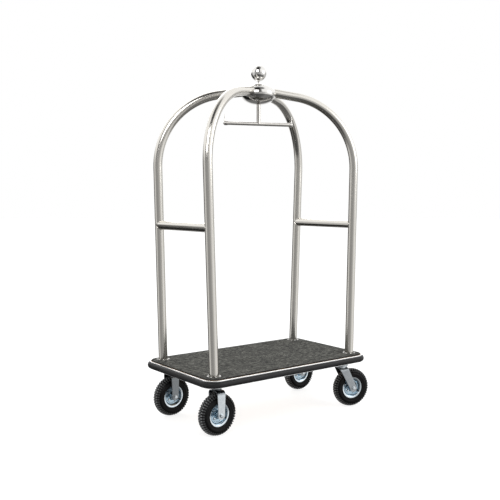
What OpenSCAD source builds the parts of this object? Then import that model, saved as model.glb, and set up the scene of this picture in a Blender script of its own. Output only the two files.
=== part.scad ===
// Hotel luggage cart: carpeted deck, four bent tube posts that meet in a hub,
// a swivelling garment rail, two rigid and two swivelling pneumatic casters.
// Origin: centre of the carpet's top face. +X long axis towards the swivel end,
// -Y front, +Z up.

/* [Deck] */
// Overall deck length over the bumper
deck_l = 1097; // [1000:1:1200]
// Overall deck width over the bumper
deck_w = 651; // [600:1:750]
// Corner radius of the bumper's outer face
corner_r = 80; // [60:1:95]
// Height of the deck's top face above the floor
deck_h = 309; // [305:1:340]
// Carpet thickness
carpet_t = 6; // [4:0.5:8]
// Board thickness
board_t = 19; // [15:1:22]
// Height of the frame under the board
frame_t = 19.7; // [16:0.1:22]

/* [Bumper] */
// How far the rubber stands out from the back of its track
bumper_d = 15.2; // [13:0.1:18]
// Depth of the rubber's rounded face
bumper_round = 12; // [8:0.5:14]
// Sheet thickness of the track
track_t = 2; // [1.5:0.1:3]
// Height of the bright lip on the track's top edge
lip_h = 5; // [3:0.5:7]

/* [Posts] */
// Outer diameter of posts and crossbars
tube_d = 48.3; // [42:0.1:51]
// Tube wall
tube_wall = 2; // [1.5:0.1:3]
// Post spacing along X at the deck
post_dx = 930; // [880:1:960]
// Post spacing along Y at the deck
post_dy = 487; // [460:1:510]
// Outward splay of each end frame, in degrees
splay = 1.6; // [0:0.1:3]
// Inward tuck of each post along Y, in degrees
tuck = 0.43; // [0:0.01:1]
// Centreline radius of the top bend
bend_r = 388; // [340:1:400]
// Slope of the arms that rise to the hub, in degrees
arm_rise = 8; // [4:0.5:12]
// Height of the crossbars above the deck
crossbar_z = 731; // [600:1:850]
// Diameter of the flange at each post's foot
flange_d = 74; // [70:1:80]
// Screws round each flange
flange_screws_n = 8; // [6:1:10]

/* [Hub and rail] */
// Height of the hub's centre above the deck
hub_z = 1437; // [1400:1:1480]
// Radius of the hub at its waist
hub_rx = 96; // [90:1:110]
// Half height of the hub
hub_rz = 56; // [54:1:64]
// Height of the finial ball's centre above the deck
ball_z = 1550; // [1542:1:1600]
// Diameter of the finial ball
ball_d = 86; // [76:1:92]
// Height of the garment rail's centre above the deck
rail_z = 1277.5; // [1230:0.5:1310]
// Half length of the garment rail
rail_half = 187; // [150:1:240]
// Diameter of the garment rail
rail_d = 20; // [18:0.5:22]
// Diameter of the drop rod
rod_d = 23; // [20:0.5:24]
// Turn of the garment rail at rest, in degrees
rail_turn = -20; // [-90:1:90]

/* [Casters] */
// Tyre outer diameter
tyre_d = 216; // [200:1:218]
// Tyre section width
tyre_w = 60; // [54:1:62]
// Diameter over the rim's flanges
rim_d = 120; // [112:1:124]
// Axle and kingpin diameter
axle_d = 12; // [10:0.5:14]
// Caster plate centre from the deck centre, along X
caster_x = 429.5; // [400:0.5:440]
// Caster plate centre from the deck centre, along Y
caster_y = 217.5; // [190:0.5:225]
// Trail of the swivel casters
trail = 60; // [45:1:70]
// Turn of the front swivel caster at rest, in degrees
turn_front = -18; // [-180:1:180]
// Turn of the rear swivel caster at rest, in degrees
turn_rear = -2; // [-180:1:180]
// Thickness of the fork steel
fork_t = 5; // [4:0.5:6]
// Inside width of the fork
fork_gap = 72; // [66:1:80]

/* [Hidden] */
$fn = 64;

// Running clearance of a shaft in its bore, on the radius
run = 0.06;
// Gap between faces of parts that only stand next to each other
gap = 0.3;

// Corner signs of the four posts and casters
FL = [-1, -1];
RL = [-1, 1];
FR = [1, -1];
RR = [1, 1];

// Deck levels
board_top = -carpet_t;
frame_top = board_top - board_t - gap;
deck_bottom = frame_top - frame_t;
track_top = -6.5;
// Insets from the bumper's outer face
board_inset = bumper_d + track_t + 1;
carpet_inset = board_inset + 1.3;
lip_inset = 12;

// Posts
tube_r = tube_d / 2;
splay_x = tan(splay);
tuck_y = tan(tuck);
arm_z_at_hub = hub_z + 9;
arm_end_r = 63;
// Level at which a post's axis, carried on, meets its arm's axis
knee_z = arm_z_at_hub - 66;
knee_x = post_dx / 2 + splay_x * knee_z;
knee_y = post_dy / 2 - tuck_y * knee_z;
knee_az = atan2(knee_y, knee_x);
knee_r = norm([knee_x, knee_y]);
// Lean of the post in the plane of its bend, and tilt of that plane
lean_in = atan(splay_x * cos(knee_az) - tuck_y * sin(knee_az));
lean_out = atan(splay_x * sin(knee_az) + tuck_y * cos(knee_az));
bend_turn = 90 + lean_in - arm_rise;
bend_tangent = bend_r * tan(bend_turn / 2);
// Width of the weld line between a post's lengths
weld_line = 0.3;

// Casters
plate_top = deck_bottom;
plate_t = 5;
plate_l = 110;
plate_w = 95;
bolt_dx = 84;
bolt_dy = 70;
axle_z = -deck_h + tyre_d / 2;
crown_top = -78;
crown_bottom = crown_top - fork_t;
leg_in = fork_gap / 2;
leg_out = leg_in + fork_t;
bead_r = 51;

// ---------- shared shapes ----------

// Outline of a rectangle with round corners, as one polygon
function round_rect(hx, hy, r, n = 8) = [
  for (q = [0:3], i = [0:n])
    let (a = 90 * q + 90 * i / n,
         sx = (q == 0 || q == 3) ? 1 : -1,
         sy = (q < 2) ? 1 : -1)
      [sx * (hx - r) + r * cos(a), sy * (hy - r) + r * sin(a)]
];

// Flat slab with the deck's outline, drawn in from the bumper's outer face
module deck_slab(inset, z0, z1) {
  translate([0, 0, z0]) linear_extrude(z1 - z0)
    polygon(round_rect(deck_l / 2 - inset, deck_w / 2 - inset, corner_r - inset));
}

// Band round the deck: the child is its section, x outwards from the corner centre
module deck_band() {
  cx = deck_l / 2 - corner_r;
  cy = deck_w / 2 - corner_r;
  for (q = [[1, 1, 0], [-1, 1, 90], [-1, -1, 180], [1, -1, 270]])
    translate([q[0] * cx, q[1] * cy, 0]) rotate([0, 0, q[2]])
      rotate_extrude(angle = 90) children();
  for (s = [0, 180]) {
    rotate([0, 0, s]) translate([cx, 0, 0]) rotate([90, 0, 0])
      linear_extrude(2 * cy, center = true) children();
    rotate([0, 0, s + 90]) translate([cy, 0, 0]) rotate([90, 0, 0])
      linear_extrude(2 * cx, center = true) children();
  }
}

// Puts a child drawn for the rear right corner at another corner
module at_corner(c) {
  mirror([c[0] < 0 ? 1 : 0, 0, 0]) mirror([0, c[1] < 0 ? 1 : 0, 0]) children();
}

// ---------- deck ----------

module carpet() {
  color("#4f4f4c") difference() {
    deck_slab(carpet_inset, board_top, 0);
    for (c = [FL, RL, FR, RR])
      translate([c[0] * post_dx / 2, c[1] * post_dy / 2, board_top - 1])
        cylinder(d = flange_d + 1, h = carpet_t + 2);
  }
}

module deck_board() {
  color("#b08a5a") deck_slab(board_inset, board_top - board_t, board_top);
}

module deck_frame() {
  rail_w = 25;
  hx = deck_l / 2 - board_inset - rail_w;
  hy = deck_w / 2 - board_inset - rail_w;
  pad_in = caster_x - plate_l / 2;
  pad_t = 6;
  color("#8d9092") difference() {
    deck_slab(board_inset, deck_bottom, frame_top);
    for (s = [-1, 1]) {
      translate([s * (pad_in + rail_w / 2) / 2, 0, deck_bottom - 1])
        linear_extrude(frame_t + 2) square([pad_in - rail_w / 2, 2 * hy], center = true);
      translate([s * (pad_in + rail_w / 4 + hx) / 2, 0, deck_bottom + pad_t])
        linear_extrude(frame_t) square([hx - pad_in - rail_w / 4, 2 * hy], center = true);
    }
    for (c = [FL, RL, FR, RR]) caster_bolt_places(c)
      translate([0, 0, deck_bottom - 1]) cylinder(r = 4.3, h = frame_t + 2, $fn = 32);
  }
}

module bumper_track() {
  back = corner_r - bumper_d;
  lip = corner_r - lip_inset;
  color("#d9dadb") deck_band() polygon([
    [back - track_t, track_top], [lip, track_top], [lip, track_top - lip_h],
    [lip - track_t, track_top - lip_h], [lip - track_t, track_top - track_t],
    [back, track_top - track_t], [back, deck_bottom + track_t],
    [lip, deck_bottom + track_t], [lip, deck_bottom], [back - track_t, deck_bottom]
  ]);
}

module bumper() {
  top = track_top - lip_h - gap;
  bottom = deck_bottom + track_t + gap;
  half = (top - bottom) / 2;
  n = 12;
  color("#1d1d1e") deck_band() polygon(concat(
    [[corner_r - bumper_d + 0.05, bottom]],
    [for (i = [0:n]) let (a = -90 + 180 * i / n)
      [corner_r - bumper_round * (1 - cos(a)), bottom + half + half * sin(a)]],
    [[corner_r - bumper_d + 0.05, top]]
  ));
}

// ---------- posts, flanges and crossbars ----------

// Puts a child in the plane of a post's bend: origin at the knee, +X along the
// arm's plan direction to the hub, +Z up the plane
module at_knee(c) {
  at_corner(c) translate([knee_x, knee_y, knee_z])
    rotate([0, 0, 180 + knee_az]) rotate([-lean_out, 0, 0]) children();
}

// Section of the tube's wall
module tube_ring() {
  difference() {
    circle(r = tube_r);
    circle(r = tube_r - tube_wall);
  }
}

// Sleeve inside a post that joins two of its lengths across their weld line
module joint_sleeve() {
  half = 6;
  translate([0, 0, -half]) linear_extrude(2 * half) difference() {
    circle(r = tube_r - tube_wall / 2);
    circle(r = tube_r - tube_wall - 1);
  }
}

// Bent tube: a straight length cut level on the board, the bend, and the arm to the hub
module post(c) {
  straight = knee_z + 40 - bend_tangent;
  arm = (knee_r - arm_end_r) / cos(arm_rise) - bend_tangent;
  color("#b9b7b2") difference() {
    at_knee(c) {
      rotate([0, -lean_in, 0]) translate([0, 0, -knee_z - 40]) {
        linear_extrude(straight - weld_line) tube_ring();
        translate([0, 0, straight]) joint_sleeve();
      }
      translate([bend_tangent * sin(lean_in) + bend_r * cos(lean_in), 0,
                 -bend_tangent * cos(lean_in) + bend_r * sin(lean_in)])
        rotate([90, 0, 0]) rotate([0, 0, 90 + arm_rise])
          rotate_extrude(angle = bend_turn) translate([bend_r, 0]) tube_ring();
      rotate([0, 90 - arm_rise, 0]) translate([0, 0, bend_tangent]) {
        translate([0, 0, weld_line]) linear_extrude(arm - weld_line) tube_ring();
        joint_sleeve();
      }
    }
    translate([c[0] * post_dx / 2, c[1] * post_dy / 2, board_top - 100])
      cylinder(r = 60, h = 100);
  }
}

module flange(c) {
  foot = 1.5;
  color("#2b2b2c") translate([c[0] * post_dx / 2, c[1] * post_dy / 2, 0]) difference() {
    translate([0, 0, board_top]) cylinder(d = flange_d, h = carpet_t + foot);
    translate([0, 0, board_top - 1]) cylinder(r = tube_r + 0.6, h = carpet_t + foot + 2);
    screw_places(c) translate([0, 0, board_top - 1])
      cylinder(r = 2.6, h = carpet_t + foot + 2, $fn = 24);
  }
}

// Places of the screws round a flange, one of them on the line to the hub
module screw_places(c) {
  circle_r = 31;
  for (i = [0:flange_screws_n - 1])
    rotate([0, 0, atan2(c[1] * post_dy, c[0] * post_dx) + 360 * i / flange_screws_n])
      translate([circle_r, 0, 0]) children();
}

module flange_screws() {
  foot = 1.5;
  color("#e2e2e2") for (c = [FL, RL, FR, RR])
    translate([c[0] * post_dx / 2, c[1] * post_dy / 2, 0]) screw_places(c) {
      translate([0, 0, board_top + 0.2]) cylinder(r = 2.4, h = carpet_t + foot, $fn = 24);
      translate([0, 0, foot + 0.02]) cylinder(r1 = 4.2, r2 = 2.6, h = 2.4, $fn = 24);
    }
}

module crossbar(side) {
  x = post_dx / 2 + splay_x * crossbar_z;
  y = post_dy / 2 - tuck_y * crossbar_z;
  color("#b9b7b2") difference() {
    translate([side * x, 0, crossbar_z]) rotate([90, 0, 0]) difference() {
      cylinder(r = tube_r - 0.4, h = 2 * y, center = true);
      cylinder(r = tube_r - 0.4 - tube_wall, h = 2 * y + 2, center = true);
    }
    for (s = [-1, 1]) at_knee([side, s])
      rotate([0, -lean_in, 0]) translate([0, 0, -knee_z - 40])
        cylinder(r = tube_r + 0.05, h = knee_z - bend_tangent);
  }
}

// ---------- hub and finial ----------

// Half outline of the hub's shell: upper for s = 1, lower for s = -1
function hub_arc(a, b, s, n = 14) =
  [for (i = [0:n]) [a * cos(90 * i / n), s * b * sin(90 * i / n)]];

module hub_shell(s, hole_r) {
  t = 3;
  outer = hub_arc(hub_rx, hub_rz, s);
  inner = hub_arc(hub_rx - t, hub_rz - t, s);
  n = len(inner);
  color("#cfcfce") difference() {
    translate([0, 0, hub_z]) rotate_extrude() difference() {
      polygon(concat(outer, [for (i = [0:n - 1]) inner[n - 1 - i]]));
      translate([-1, -hub_rz - 1]) square([hole_r + 1, 2 * hub_rz + 2]);
    }
    for (c = [FL, RL, FR, RR]) at_knee(c)
      rotate([0, 90 - arm_rise, 0]) translate([0, 0, bend_tangent])
        cylinder(r = tube_r + 0.15, h = knee_r - bend_tangent);
  }
}

module hub_lower_shell() {
  hub_shell(-1, rod_d / 2 + 0.8);
}

module hub_upper_shell() {
  translate([0, 0, 0.05]) hub_shell(1, 5.3);
}

core_r = 59;
core_bottom = hub_z - 32;
core_top = hub_z + 37;
core_floor = 8;
bush_r = 16;

module hub_core() {
  color("#8d9092") difference() {
    translate([0, 0, core_bottom]) cylinder(r = core_r, h = core_top - core_bottom);
    translate([0, 0, core_bottom + core_floor])
      cylinder(r = core_r - 6, h = core_top - core_bottom - core_floor - 6);
    translate([0, 0, core_bottom - 1]) cylinder(r = bush_r, h = core_floor + 2);
    translate([0, 0, core_top - 8]) cylinder(r = 5.05, h = 10);
  }
}

module finial_stem() {
  ball_bottom = ball_z - ball_d / 2;
  nut = core_top - 6 - 8;
  color("#cfcfce") {
    translate([0, 0, nut]) cylinder(r = 5, h = ball_bottom + 12 - nut);
    translate([0, 0, nut]) cylinder(r = 9, h = 7.95, $fn = 6);
  }
}

module finial_ball() {
  color("#dedede") translate([0, 0, ball_z]) difference() {
    sphere(d = ball_d, $fn = 96);
    sphere(d = ball_d - 5, $fn = 96);
    translate([0, 0, -ball_d]) cylinder(r = 5.05, h = ball_d);
  }
}

// ---------- garment rail ----------

bush_top = core_bottom + core_floor + 3;

module rail_bush() {
  color("#c9a35a") difference() {
    union() {
      translate([0, 0, core_bottom]) cylinder(r = bush_r - 0.02, h = bush_top - core_bottom);
      translate([0, 0, bush_top - 2.98]) cylinder(r = bush_r + 5, h = 2.98);
    }
    translate([0, 0, core_bottom - 1]) cylinder(r = rod_d / 2 + run, h = bush_top - core_bottom + 2);
  }
}

module drop_rod() {
  collar_h = 9;
  color("#b9b7b2") difference() {
    union() {
      translate([0, 0, rail_z]) cylinder(d = rod_d, h = bush_top + gap + collar_h + 2 - rail_z);
      translate([0, 0, bush_top + gap]) cylinder(r = 19, h = collar_h);
    }
    rail_bar(rail_d / 2 + 0.05, 4 * rail_d);
  }
}

module rail_bar(r, length) {
  translate([0, 0, rail_z]) rotate([0, 0, rail_turn]) rotate([0, 90, 0])
    cylinder(r = r, h = length, center = true);
}

module garment_rail() {
  color("#b9b7b2") rail_bar(rail_d / 2, 2 * rail_half);
}

// End cap with an upright pin that keeps hangers on the rail
module rail_end(side) {
  cap_r = rail_d / 2 + 2.2;
  cap_l = 24;
  pin_r = 2;
  color("#cfcfce") translate([0, 0, rail_z]) rotate([0, 0, rail_turn])
    translate([side * rail_half, 0, 0]) {
      difference() {
        rotate([0, 90, 0]) cylinder(r = cap_r, h = cap_l, center = true);
        rotate([0, -side * 90, 0]) cylinder(r = rail_d / 2 + 0.05, h = cap_l);
      }
      translate([side * 4, 0, cap_r - 1.5]) cylinder(r = 6, h = 4.5, $fn = 48);
      translate([side * 4, 0, cap_r]) cylinder(r = pin_r, h = 34, $fn = 32);
    }
}

// ---------- casters ----------

// Puts a child at a caster's plate centre; z stays the deck's
module at_caster(c) {
  translate([c[0] * caster_x, c[1] * caster_y, 0]) children();
}

function caster_turn(c) = c[0] < 0 ? 0 : c[1] < 0 ? turn_front : turn_rear;
function caster_trail(c) = c[0] < 0 ? 0 : trail;

// Puts a child in a caster's fork frame: origin on the kingpin line, +X along the trail
module at_fork(c) {
  at_caster(c) rotate([0, 0, caster_turn(c)]) children();
}

// Puts a child on a wheel's centre, with the axle along Z and -Z towards the front
module at_wheel(c) {
  at_fork(c) translate([caster_trail(c), 0, axle_z]) rotate([-90, 0, 0]) children();
}

module caster_bolt_places(c) {
  at_caster(c) for (x = [-1, 1], y = [-1, 1])
    translate([x * bolt_dx / 2, y * bolt_dy / 2, 0]) children();
}

module caster_bolts() {
  head = 5.5;
  color("#c4c8cc") for (c = [FL, RL, FR, RR]) caster_bolt_places(c) {
    translate([0, 0, plate_top - plate_t - 0.05]) mirror([0, 0, 1]) cylinder(r = 7.5, h = head, $fn = 6);
    translate([0, 0, plate_top - plate_t - 1]) cylinder(r = 4, h = plate_t + frame_t, $fn = 32);
  }
}

module caster_plate(c) {
  difference() {
    at_caster(c) translate([0, 0, plate_top - plate_t]) linear_extrude(plate_t - 0.02)
      polygon(round_rect(plate_l / 2, plate_w / 2, 10, 4));
    caster_bolt_places(c) translate([0, 0, plate_top - plate_t - 1])
      cylinder(r = 4.3, h = plate_t + 2, $fn = 32);
  }
}

// One leg's outline, x along the trail and y up
module leg_outline(offset_x, top_left, top_right, tip_r) {
  a = 10;
  difference() {
    polygon(concat(
      [[top_right, crown_top], [top_left, crown_top]],
      [for (i = [0:a]) let (t = 205 + 160 * i / a)
        [offset_x + tip_r * cos(t), axle_z + tip_r * sin(t)]]
    ));
    translate([offset_x, axle_z]) circle(r = axle_d / 2 + 0.05);
  }
}

// Crown plate and two legs
module fork_body(offset_x, top_left, top_right, tip_r) {
  for (s = [-1, 1])
    translate([0, s * (leg_in + fork_t / 2), 0]) rotate([90, 0, 0])
      linear_extrude(fork_t, center = true) leg_outline(offset_x, top_left, top_right, tip_r);
  translate([(top_left + top_right) / 2, 0, crown_bottom]) linear_extrude(fork_t)
    square([top_right - top_left, 2 * leg_in + fork_t], center = true);
}

module rigid_fork(c) {
  color("#c4c8cc") {
    caster_plate(c);
    at_fork(c) {
      fork_body(0, -24, 24, 20);
      translate([0, 0, crown_top - 1]) cylinder(r = 30, h = plate_top - plate_t - crown_top + 2);
    }
  }
}

race_h = 14;
bearing_top = plate_top - plate_t - race_h - gap;
bearing_bottom = crown_top + 6;

module swivel_plate(c) {
  color("#c4c8cc") difference() {
    union() {
      caster_plate(c);
      at_caster(c) translate([0, 0, plate_top - plate_t - race_h]) cylinder(r = 36, h = race_h + 1);
    }
    at_caster(c) translate([0, 0, plate_top - plate_t - race_h - 1])
      cylinder(r = axle_d / 2 + 0.02, h = race_h + plate_t + 2);
  }
}

module kingpin(c) {
  color("#aeb2b6") at_caster(c) {
    translate([0, 0, crown_bottom - gap - 5])
      cylinder(d = axle_d, h = plate_top - 0.5 - crown_bottom + gap + 5);
    translate([0, 0, crown_bottom - gap - 8]) cylinder(r = 10.5, h = 8, $fn = 6);
  }
}

module swivel_bearing(c) {
  color("#9fa3a7") at_caster(c) difference() {
    translate([0, 0, bearing_bottom]) cylinder(r = 40, h = bearing_top - bearing_bottom);
    translate([0, 0, bearing_bottom - 1]) cylinder(r = 22, h = bearing_top - bearing_bottom + 2);
  }
}

module swivel_fork(c) {
  color("#c4c8cc") at_fork(c) difference() {
    union() {
      fork_body(trail, -29, 24, 20);
      translate([0, 0, crown_top - 1]) cylinder(r = 34, h = bearing_bottom - crown_top + 0.98);
      translate([0, 0, crown_bottom]) cylinder(r = 30, h = fork_t);
    }
    translate([0, 0, crown_bottom - 1]) cylinder(r = axle_d / 2 + run, h = 30);
  }
}

// Axle bolt with its head at the front and a nut behind
module axle(c) {
  half = leg_out + 9;
  color("#c4c8cc") at_wheel(c) {
    cylinder(d = axle_d, h = 2 * half, center = true);
    for (s = [-1, 1]) translate([0, 0, s * (leg_out + 0.05 + 3.5)])
      cylinder(r = 10, h = 7, center = true, $fn = 6);
  }
}

module wheel_hub(c) {
  color("#a9adb1") at_wheel(c) difference() {
    cylinder(r = 13, h = fork_gap - 2, center = true);
    cylinder(r = axle_d / 2 + run, h = fork_gap, center = true);
  }
}

// Half of the stamped rim; s = -1 is the half towards the front
module rim_half(c, s) {
  t = 2;
  disc = 0.1;
  flange_y = 25.5;
  seat = bead_r - 0.2;
  color("#d3d7db") at_wheel(c) mirror([0, 0, s < 0 ? 1 : 0]) rotate_extrude() polygon([
    [13.05, disc], [36, disc], [seat - 3, 12], [seat, 15], [seat, flange_y - 3],
    [rim_d / 2, flange_y - 3], [rim_d / 2, flange_y], [seat - t, flange_y],
    [seat - t, 16], [seat - 5, 13.5], [35.3, disc + t], [20, disc + t],
    [17, disc + 14], [13.05, disc + 14]
  ]);
}

module tyre(c) {
  mid_r = 80;
  wall = 6;
  bead_y = 21.6;
  n = 10;
  rx = tyre_d / 2 - mid_r;
  ry = tyre_w / 2;
  color("#171717") at_wheel(c) rotate_extrude($fn = 96) polygon(concat(
    [[bead_r, -bead_y]],
    [for (i = [0:2 * n]) let (a = -42 + 264 * i / (2 * n))
      [mid_r + rx * sin(a), -ry * cos(a) * (1 - 0.06 * pow(sin(a), 8))]],
    [[bead_r, bead_y], [bead_r, bead_y - wall - 2]],
    [for (i = [0:2 * n]) let (a = -35 + 250 * i / (2 * n))
      [mid_r + (rx - wall) * sin(a), (ry - wall) * cos(a)]],
    [[bead_r, -bead_y + wall + 2]]
  ));
}

carpet();
deck_board();
deck_frame();
bumper_track();
bumper();
post(FL);  // post_front_left
post(RL);  // post_rear_left
post(FR);  // post_front_right
post(RR);  // post_rear_right
flange(FL);  // flange_front_left
flange(RL);  // flange_rear_left
flange(FR);  // flange_front_right
flange(RR);  // flange_rear_right
flange_screws();
crossbar(-1);  // crossbar_left
crossbar(1);  // crossbar_right
hub_lower_shell();
hub_upper_shell();
hub_core();
finial_stem();
finial_ball();
rail_bush();
drop_rod();
garment_rail();
rail_end(-1);  // rail_end_left
rail_end(1);  // rail_end_right
caster_bolts();
rigid_fork(FL);  // rigid_fork_front
rigid_fork(RL);  // rigid_fork_rear
swivel_plate(FR);  // swivel_plate_front
swivel_plate(RR);  // swivel_plate_rear
kingpin(FR);  // kingpin_front
kingpin(RR);  // kingpin_rear
swivel_bearing(FR);  // swivel_bearing_front
swivel_bearing(RR);  // swivel_bearing_rear
swivel_fork(FR);  // swivel_fork_front
swivel_fork(RR);  // swivel_fork_rear
axle(FL);  // axle_front_left
axle(RL);  // axle_rear_left
axle(FR);  // axle_front_right
axle(RR);  // axle_rear_right
wheel_hub(FL);  // wheel_hub_front_left
wheel_hub(RL);  // wheel_hub_rear_left
wheel_hub(FR);  // wheel_hub_front_right
wheel_hub(RR);  // wheel_hub_rear_right
rim_half(FL, -1);  // rim_near_front_left
rim_half(RL, -1);  // rim_near_rear_left
rim_half(FR, -1);  // rim_near_front_right
rim_half(RR, -1);  // rim_near_rear_right
rim_half(FL, 1);  // rim_far_front_left
rim_half(RL, 1);  // rim_far_rear_left
rim_half(FR, 1);  // rim_far_front_right
rim_half(RR, 1);  // rim_far_rear_right
tyre(FL);  // tyre_front_left
tyre(RL);  // tyre_rear_left
tyre(FR);  // tyre_front_right
tyre(RR);  // tyre_rear_right
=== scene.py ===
"""Looks of a hotel luggage cart, built on its CAD frame. Metres, +Z up, -Y the front, +X the swivel end."""
import math
from math import cos, pi, radians, sin, sqrt, tan

import bpy
from mathutils import Matrix, Vector, noise


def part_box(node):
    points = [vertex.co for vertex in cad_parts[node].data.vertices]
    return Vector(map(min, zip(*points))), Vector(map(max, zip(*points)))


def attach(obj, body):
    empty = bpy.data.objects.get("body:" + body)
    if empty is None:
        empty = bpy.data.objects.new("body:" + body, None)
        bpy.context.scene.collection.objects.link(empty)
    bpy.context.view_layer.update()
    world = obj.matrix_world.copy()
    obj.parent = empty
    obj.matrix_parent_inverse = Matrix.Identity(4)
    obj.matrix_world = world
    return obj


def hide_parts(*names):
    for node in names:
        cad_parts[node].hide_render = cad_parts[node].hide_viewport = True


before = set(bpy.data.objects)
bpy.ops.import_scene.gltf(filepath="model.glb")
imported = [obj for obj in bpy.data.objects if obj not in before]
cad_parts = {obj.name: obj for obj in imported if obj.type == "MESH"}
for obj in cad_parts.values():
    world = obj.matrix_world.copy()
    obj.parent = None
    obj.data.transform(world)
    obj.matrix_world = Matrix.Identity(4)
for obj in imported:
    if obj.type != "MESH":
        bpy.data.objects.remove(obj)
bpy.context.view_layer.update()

# ---------- sizes, in metres and radians, as the CAD has them ----------

def middle(name):
    """Height of the middle of a CAD node's box."""
    return (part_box(name)[0].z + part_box(name)[1].z) / 2


CORNERS = {"front_left": (-1, -1), "rear_left": (-1, 1), "front_right": (1, -1), "rear_right": (1, 1)}
QUADRANTS = ((1, 1), (-1, 1), (-1, -1), (1, -1))

DECK_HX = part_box("bumper")[1].x
DECK_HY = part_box("bumper")[1].y
CORNER_R = 0.080
TRACK_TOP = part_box("bumper_track")[1].z
DECK_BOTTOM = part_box("bumper_track")[0].z
BOARD_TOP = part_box("deck_board")[1].z

POST_DX = 0.930
POST_DY = 0.487
SPLAY = radians(1.6)
TUCK = radians(0.43)
BEND_R = 0.388
ARM_RISE = radians(8)
TUBE_R = 0.02415
CROSSBAR_Z = middle("crossbar_left")

HUB_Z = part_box("hub_lower_shell")[1].z
HUB_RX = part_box("hub_lower_shell")[1].x
HUB_RZ = 0.056
KNEE_Z = HUB_Z + 0.009 - 0.066
BALL_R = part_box("finial_ball")[1].x
BALL_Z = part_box("finial_ball")[1].z - BALL_R
RAIL_R = 0.010
RAIL_HALF = 0.187
RAIL_TURN = radians(-20)
RAIL_Z = middle("garment_rail")
ROD_R = 0.0115

AXLE_Z = middle("tyre_front_left")
TYRE_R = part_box("tyre_front_left")[1].z - AXLE_Z
TYRE_HALF_W = 0.030
WIDEST_R = 0.080
LUGS = 46
LUG_DEPTH = 0.0062
TRAIL = {"left": 0.0, "right": 0.060}
TURN = {"front_left": 0.0, "rear_left": 0.0, "front_right": radians(-18), "rear_right": radians(-2)}
FORK_T = 0.005
FORK_GAP = 0.072
FORK_OUT = FORK_GAP / 2 + FORK_T
CROWN_TOP = -0.078
PLATE_BOTTOM = DECK_BOTTOM - 0.005
CASTER_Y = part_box("kingpin_rear")[1].y - 0.0105 * cos(radians(30))
CASTER_X = 0.4295
BOLT_DX, BOLT_DY = 0.084, 0.070

# Radii at which an angle is measured as a girth, for the marks on turned pieces, tubes and tyres
TURNED_GIRTH, TUBE_GIRTH, TYRE_GIRTH = 0.030, 0.024, 0.100

# Painted shade on each fork's legs, for forks in shade under the deck, from clean zinc at 0 to grey at 1
FORK_PAINTED_SHADE = {"front_left": 0.0, "rear_left": 0.74, "front_right": 0.46, "rear_right": 0.55}

CAMERA_YAW = radians(37.34)
CAMERA_PITCH = radians(3.97)


# ---------- node helpers ----------

def put(tree, socket, value):
    """Links a socket to another, or sets its value."""
    if isinstance(value, bpy.types.NodeSocket):
        tree.links.new(value, socket)
    else:
        socket.default_value = value


def node(tree, kind, inputs, output=0, **settings):
    """A new node with its settings and inputs; returns one of its outputs."""
    made = tree.nodes.new(kind)
    for name, value in settings.items():
        setattr(made, name, value)
    for name, value in inputs.items():
        put(tree, made.inputs[name], value)
    return made.outputs[output] if made.outputs else None


def ramp(tree, factor, stops):
    """A colour ramp over (position, grey or colour) stops."""
    made = tree.nodes.new("ShaderNodeValToRGB")
    elements = made.color_ramp.elements
    while len(elements) < len(stops):
        elements.new(0.5)
    for element, (position, colour) in zip(elements, stops):
        element.position = position
        grey = isinstance(colour, (int, float))
        element.color = (colour, colour, colour, 1) if grey else (*colour, 1)
    put(tree, made.inputs[0], factor)
    return made.outputs[0]


def stretched(tree, scale, attribute=None):
    """Coordinates of the object, or of a piece's length and girth, scaled by a number or along each axis."""
    if attribute:
        source = node(tree, "ShaderNodeAttribute", {}, 1, attribute_name=attribute)
    else:
        source = node(tree, "ShaderNodeTexCoord", {}, 3)
    scale = scale if isinstance(scale, tuple) else (scale,) * 3
    return node(tree, "ShaderNodeMapping", {"Vector": source, "Scale": scale})


def grain(tree, scale, detail, rough=0.5, attribute=None):
    """Noise from 0 to 1 over stretched coordinates."""
    place = stretched(tree, scale, attribute)
    inputs = {"Vector": place, "Scale": 1.0, "Detail": detail, "Roughness": rough}
    return node(tree, "ShaderNodeTexNoise", inputs)


def mixed(tree, factor, first, second, mode="MIX"):
    """Two colours mixed by a factor."""
    made = tree.nodes.new("ShaderNodeMix")
    made.data_type = "RGBA"
    made.blend_type = mode
    for index, value in ((0, factor), (6, first), (7, second)):
        if isinstance(value, tuple):
            value = (*value, 1)
        put(tree, made.inputs[index], value)
    return made.outputs[2]


def maths(tree, operation, *values):
    """A maths node over its values."""
    return node(tree, "ShaderNodeMath", dict(enumerate(values)), operation=operation)


def painted_light_mask(tree):
    """Painted light mark, 0 to 1: painted shade; on the tyres, lug tops partly rubbed, partly painted
    highlight.
    """
    flow = node(tree, "ShaderNodeAttribute", {}, 1, attribute_name="flow")
    return node(tree, "ShaderNodeSeparateXYZ", {0: flow}, 2)


def spread(tree, value, low, high):
    """A 0 to 1 noise value spread over low to high, steepened round its middle."""
    return node(tree, "ShaderNodeMapRange", {0: value, 1: 0.3, 2: 0.7, 3: low, 4: high})


def drift(tree, value, first, second):
    """A colour that drifts between two with a noise value."""
    return mixed(tree, spread(tree, value, 0, 1), first, second)


def bump(tree, height, strength, distance, below=None):
    """A normal raised by a height, on top of another normal if one is given."""
    inputs = {"Height": height, "Strength": strength, "Distance": distance}
    if below is not None:
        inputs["Normal"] = below
    return node(tree, "ShaderNodeBump", inputs)


def shade(material, colour, rough, metal=0.0, normal=None, **fixed):
    """Closes a material: one Principled shader into the output."""
    tree = material.node_tree
    inputs = {"Base Color": colour, "Roughness": rough, "Metallic": metal}
    if normal is not None:
        inputs["Normal"] = normal
    inputs.update({name.replace("_", " "): value for name, value in fixed.items()})
    shader = node(tree, "ShaderNodeBsdfPrincipled", inputs)
    node(tree, "ShaderNodeOutputMaterial", {"Surface": shader})
    return material


def blank(name):
    """A new material without nodes, and its tree."""
    material = bpy.data.materials.new(name)
    material.use_nodes = True
    material.node_tree.nodes.clear()
    return material, material.node_tree


# ---------- materials ----------

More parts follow.
